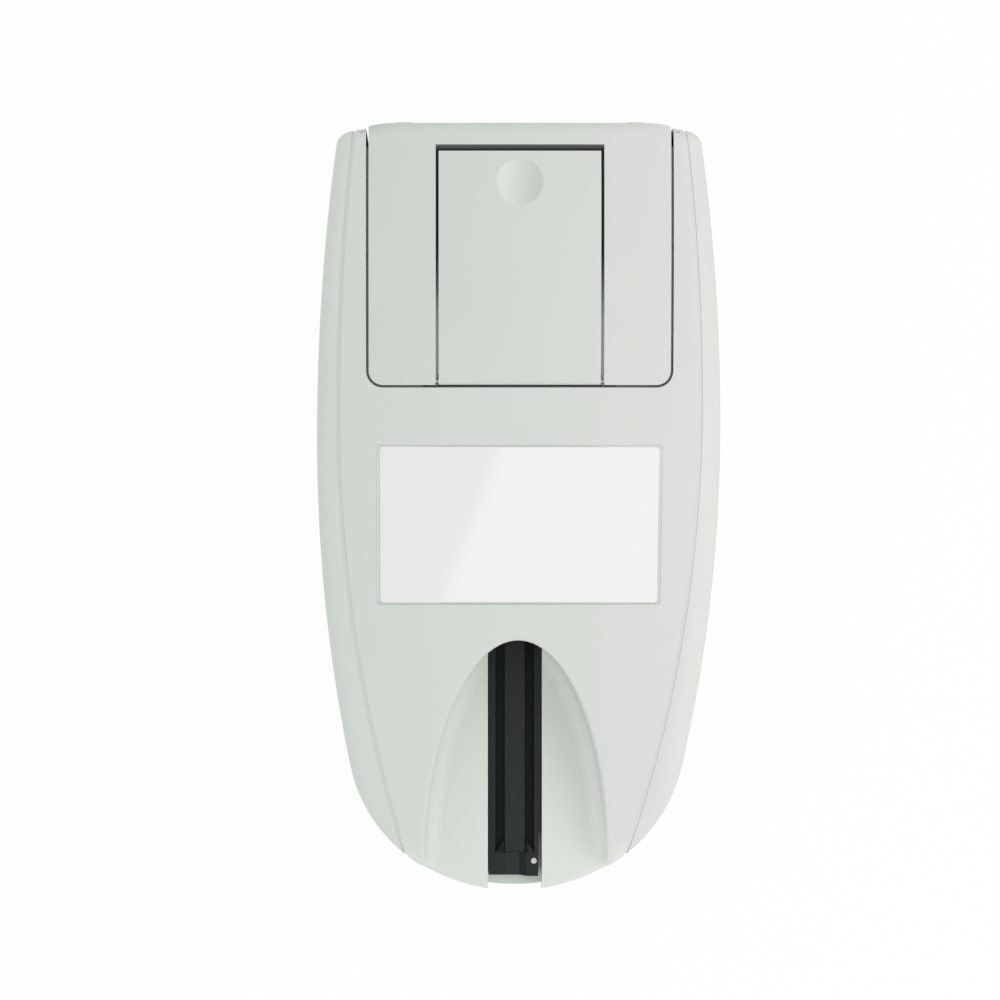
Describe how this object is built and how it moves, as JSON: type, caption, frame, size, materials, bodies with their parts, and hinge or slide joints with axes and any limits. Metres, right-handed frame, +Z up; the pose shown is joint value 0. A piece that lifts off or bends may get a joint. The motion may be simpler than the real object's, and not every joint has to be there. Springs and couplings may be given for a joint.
{
  "type": "urine analyzer",
  "caption": "Bench-top strip reader with a wedge-shaped housing, a sliding strip tray in a scooped bay, a display and a receipt printer under a hinged door.",
  "frame": {"origin": "bottom centre of the bounding box, on the table between the feet", "axes": "+Z up, -Y towards the user at the tray's end, +X to the user's right"},
  "size_m": [0.15, 0.29, 0.095],
  "materials": {
    "housing": "fine texture, pale grey",
    "base": "fine texture, grey",
    "screen": "glossy white",
    "tray": "satin black",
    "pad": "flat white",
    "dark_plastic": "satin black",
    "rocker": "glossy black",
    "inner_plastic": "plain grey",
    "gear_plastic": "natural white",
    "steel": "plain",
    "motor_can": "plated",
    "rubber": "matt black",
    "circuit_board": "green solder mask",
    "optical_glass": "clear",
    "print_head": "plain",
    "ribbon": "plain white"
  },
  "bodies": {
    "housing": {"top_shell": "housing", "base_shell": "base", "rubber_feet": "rubber", "case_screws": "steel", "printer_cover": "housing", "door_hinge_pins": "steel", "tear_bar": "steel", "screen_window": "screen", "screen_gasket": "rubber", "display_module": "steel", "display_board": "circuit_board", "display_screws": "steel", "tray_guide": "inner_plastic", "guide_screws": "steel", "drive_gear_axle": "steel", "tray_motor": "motor_can", "motor_bracket": "steel", "motor_screws": "steel", "tray_sensor": "dark_plastic", "optics_housing": "dark_plastic", "optics_window": "optical_glass", "optics_lens": "optical_glass", "led_board": "circuit_board", "optics_screws": "steel", "paper_cradle": "inner_plastic", "printer_screws": "steel", "printer_frame": "steel", "platen_bushes": "gear_plastic", "idler_axle": "steel", "printer_motor": "motor_can", "print_head": "print_head", "head_spring": "steel", "paper_sensor": "dark_plastic", "main_board": "circuit_board", "board_components": "dark_plastic", "board_screws": "steel", "coin_cell": "steel", "coin_cell_holder": "dark_plastic", "buzzer": "dark_plastic", "display_ribbon": "ribbon", "printer_ribbon": "ribbon", "optics_ribbon": "ribbon", "dc_jack": "dark_plastic", "serial_port": "steel", "keyboard_port": "dark_plastic", "switch_body": "dark_plastic"},
    "tray": {"strip_tray": "tray", "tray_pin": "pad", "reference_pad": "pad"},
    "tray_gear": {"drive_gear": "gear_plastic"},
    "tray_pinion": {"motor_pinion": "gear_plastic"},
    "door": {"paper_door": "housing"},
    "rocker": {"switch_rocker": "rocker"},
    "platen": {"platen_roller": "rubber", "platen_shaft": "steel", "platen_gear": "gear_plastic"},
    "idler": {"idler_gear": "gear_plastic"},
    "feed_pinion": {"printer_pinion": "gear_plastic"}
  },
  "joints": [
    {"name": "tray_slide", "type": "slide", "parent": "housing", "child": "tray", "axis": [0, 1, 0], "range_m": [0, 0.085]},
    {"name": "drive_gear_spin", "type": "hinge", "parent": "housing", "child": "tray_gear", "pos_m": [0, -0.00074, 0.01934], "axis": [1, 0, 0], "range_deg": [-761, 0]},
    {"name": "motor_pinion_spin", "type": "hinge", "parent": "housing", "child": "tray_pinion", "pos_m": [0, 0.00876, 0.0134], "axis": [1, 0, 0], "range_deg": [0, 1015]},
    {"name": "paper_door_hinge", "type": "hinge", "parent": "housing", "child": "door", "pos_m": [0, 0.04916, 0.09022], "axis": [1, 0, 0], "range_deg": [0, 95]},
    {"name": "power_rocker_tilt", "type": "hinge", "parent": "housing", "child": "rocker", "pos_m": [-0.046, 0.138, 0.0181], "axis": [1, 0, 0], "range_deg": [0, 14]},
    {"name": "platen_spin", "type": "hinge", "parent": "housing", "child": "platen", "pos_m": [0, 0.13, 0.082], "axis": [1, 0, 0], "continuous": true},
    {"name": "idler_spin", "type": "hinge", "parent": "housing", "child": "idler", "pos_m": [0, 0.12948, 0.06881], "axis": [1, 0, 0], "continuous": true},
    {"name": "feed_pinion_spin", "type": "hinge", "parent": "housing", "child": "feed_pinion", "pos_m": [0, 0.12, 0.0703], "axis": [1, 0, 0], "continuous": true}
  ],
  "couplings": [
    {"joint": "drive_gear_spin", "follows": "tray_slide", "rad_per_m": -156.25},
    {"joint": "motor_pinion_spin", "follows": "tray_slide", "rad_per_m": 208.33},
    {"joint": "idler_spin", "follows": "platen_spin", "ratio": -1.2},
    {"joint": "feed_pinion_spin", "follows": "platen_spin", "ratio": 2}
  ]
}
